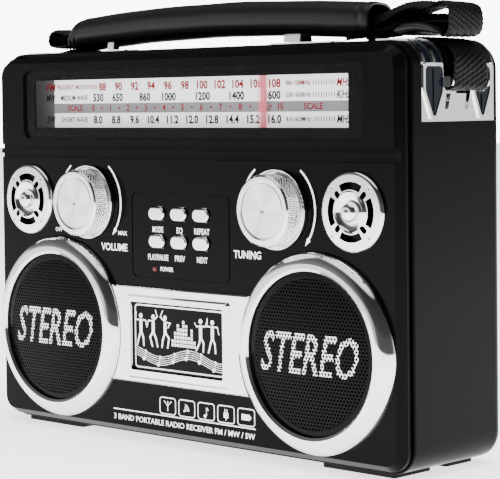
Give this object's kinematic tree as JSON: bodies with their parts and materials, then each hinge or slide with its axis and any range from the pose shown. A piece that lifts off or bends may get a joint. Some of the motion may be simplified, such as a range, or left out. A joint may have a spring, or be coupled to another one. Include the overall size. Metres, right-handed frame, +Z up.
{
  "type": "shortwave receiver",
  "caption": "Portable three-band radio receiver with round grilles, dial window with pointer, knobs, keys, strap handle, battery bay and telescopic aerial.",
  "frame": {"origin": "middle of the bounding box on the surface that the feet stand on", "axes": "+X along the width to the tuning side, -Y out of the front, +Z up"},
  "size_m": [0.2672, 0.0764, 0.2006],
  "materials": {
    "casing": "glossy moulded",
    "socket_panel": "fine texture",
    "clear_lens": "clear moulded",
    "scale": "printed",
    "pointer": "translucent",
    "zinc_plate": "zinc plated",
    "drive_cord": "braided",
    "inner_plastic": "moulded",
    "chrome_trim": "mirror plated",
    "knob_chrome": "satin plated",
    "grille": "perforated, painted",
    "speaker": "pressed paper and steel",
    "inlay": "polished",
    "spun_aluminium": "spun",
    "circuit_board": "laminate",
    "lamp": "clear tinted",
    "display": "printed",
    "webbing": "woven polyester",
    "leatherette": "grained",
    "buckle": "moulded",
    "cell": "printed jacket",
    "ferrite": "sintered, with wound coils",
    "foot_rubber": "moulded"
  },
  "bodies": {
    "cabinet": {"battery_contacts": "zinc_plate", "cap_inserts": "inlay", "case_screws": "zinc_plate", "cord_post_left": "inner_plastic", "cord_post_right": "inner_plastic", "corner_cap_left": "chrome_trim", "corner_cap_right": "chrome_trim", "d_cells": "cell", "dial_bracket": "zinc_plate", "dial_cord": "drive_cord", "dial_lens": "clear_lens", "dial_scale_plate": "scale", "display_frame": "chrome_trim", "display_window": "display", "feet": "foot_rubber", "ferrite_rod": "ferrite", "front_housing": "casing", "handle_grip": "leatherette", "handle_strap_left": "webbing", "handle_strap_right": "webbing", "key_board": "circuit_board", "main_board": "circuit_board", "rear_housing": "casing", "side_sockets": "socket_panel", "status_led": "lamp", "strap_bars": "chrome_trim", "strap_buckle": "buckle", "switch_plates": "chrome_trim", "tuning_bushing": "zinc_plate", "tuning_capacitor": "zinc_plate", "tweeter_trim_left": "chrome_trim", "tweeter_trim_right": "chrome_trim", "volume_potentiometer": "zinc_plate", "woofer_bezel_left": "chrome_trim", "woofer_bezel_right": "chrome_trim", "woofer_driver_left": "speaker", "woofer_driver_right": "speaker", "woofer_grille_left": "grille", "woofer_grille_right": "grille"},
    "tuning_control": {"tuning_knob": "knob_chrome", "tuning_knob_cap": "spun_aluminium", "tuning_shaft": "zinc_plate"},
    "volume_control": {"volume_knob": "knob_chrome", "volume_knob_cap": "spun_aluminium", "volume_shaft": "zinc_plate"},
    "pointer": {"dial_pointer": "pointer"},
    "drum": {"tuning_drum": "inner_plastic"},
    "function_switch": {"function_switch_knob": "knob_chrome"},
    "band_switch": {"band_switch_knob": "knob_chrome"},
    "door": {"battery_door": "casing"},
    "aerial_base": {"aerial_swivel": "chrome_trim"},
    "aerial_outer": {"aerial_tube_1": "chrome_trim"},
    "aerial_middle": {"aerial_tube_2": "chrome_trim"},
    "aerial_inner": {"aerial_tube_3": "chrome_trim"},
    "mode_key": {"key_mode": "chrome_trim"},
    "eq_key": {"key_eq": "chrome_trim"},
    "repeat_key": {"key_repeat": "chrome_trim"},
    "play_key": {"key_play": "chrome_trim"},
    "previous_key": {"key_previous": "chrome_trim"},
    "next_key": {"key_next": "chrome_trim"}
  },
  "joints": [
    {"name": "tuning_turn", "type": "hinge", "parent": "cabinet", "child": "tuning_control", "pos_m": [0.0604, -0.02785, 0.109], "axis": [0, 1, 0], "range_deg": [-2175, 146]},
    {"name": "pointer_travel", "type": "slide", "parent": "cabinet", "child": "pointer", "axis": [1, 0, 0], "range_m": [-0.1295, 0.009]},
    {"name": "drum_turn", "type": "hinge", "parent": "cabinet", "child": "drum", "pos_m": [-0.014, -0.02785, 0.107], "axis": [0, 1, 0], "range_deg": [-161, 12]},
    {"name": "volume_turn", "type": "hinge", "parent": "cabinet", "child": "volume_control", "pos_m": [-0.0604, -0.02785, 0.109], "axis": [0, 1, 0], "range_deg": [-150, 150]},
    {"name": "mode_press", "type": "slide", "parent": "cabinet", "child": "mode_key", "axis": [0, 1, 0], "range_m": [0, 0.0009], "stiffness_N_per_m": 400},
    {"name": "eq_press", "type": "slide", "parent": "cabinet", "child": "eq_key", "axis": [0, 1, 0], "range_m": [0, 0.0009], "stiffness_N_per_m": 400},
    {"name": "repeat_press", "type": "slide", "parent": "cabinet", "child": "repeat_key", "axis": [0, 1, 0], "range_m": [0, 0.0009], "stiffness_N_per_m": 400},
    {"name": "play_press", "type": "slide", "parent": "cabinet", "child": "play_key", "axis": [0, 1, 0], "range_m": [0, 0.0009], "stiffness_N_per_m": 400},
    {"name": "previous_press", "type": "slide", "parent": "cabinet", "child": "previous_key", "axis": [0, 1, 0], "range_m": [0, 0.0009], "stiffness_N_per_m": 400},
    {"name": "next_press", "type": "slide", "parent": "cabinet", "child": "next_key", "axis": [0, 1, 0], "range_m": [0, 0.0009], "stiffness_N_per_m": 400},
    {"name": "function_slide", "type": "slide", "parent": "cabinet", "child": "function_switch", "axis": [1, 0, 0], "range_m": [0, 0.008]},
    {"name": "band_slide", "type": "slide", "parent": "cabinet", "child": "band_switch", "axis": [1, 0, 0], "range_m": [0, 0.016]},
    {"name": "door_hinge", "type": "hinge", "parent": "cabinet", "child": "door", "pos_m": [0, 0.03761, 0.01754], "axis": [-1, 0, 0], "range_deg": [0, 80]},
    {"name": "aerial_swing", "type": "hinge", "parent": "cabinet", "child": "aerial_base", "pos_m": [0.098, 0.03395, 0.174], "axis": [0, 0, -1], "range_deg": [0, 120]},
    {"name": "aerial_tilt", "type": "hinge", "parent": "aerial_base", "child": "aerial_outer", "pos_m": [0.098, 0.03395, 0.174], "axis": [0, 1, 0], "range_deg": [0, 90]},
    {"name": "aerial_extend_middle", "type": "slide", "parent": "aerial_outer", "child": "aerial_middle", "axis": [-1, 0, 0], "range_m": [0, 0.165]},
    {"name": "aerial_extend_inner", "type": "slide", "parent": "aerial_middle", "child": "aerial_inner", "axis": [-1, 0, 0], "range_m": [0, 0.165]}
  ],
  "couplings": [
    {"joint": "pointer_travel", "follows": "tuning_turn", "m_per_rad": 0.0034},
    {"joint": "drum_turn", "follows": "tuning_turn", "ratio": 0.073276},
    {"joint": "aerial_extend_inner", "follows": "aerial_extend_middle", "ratio": 1}
  ]
}
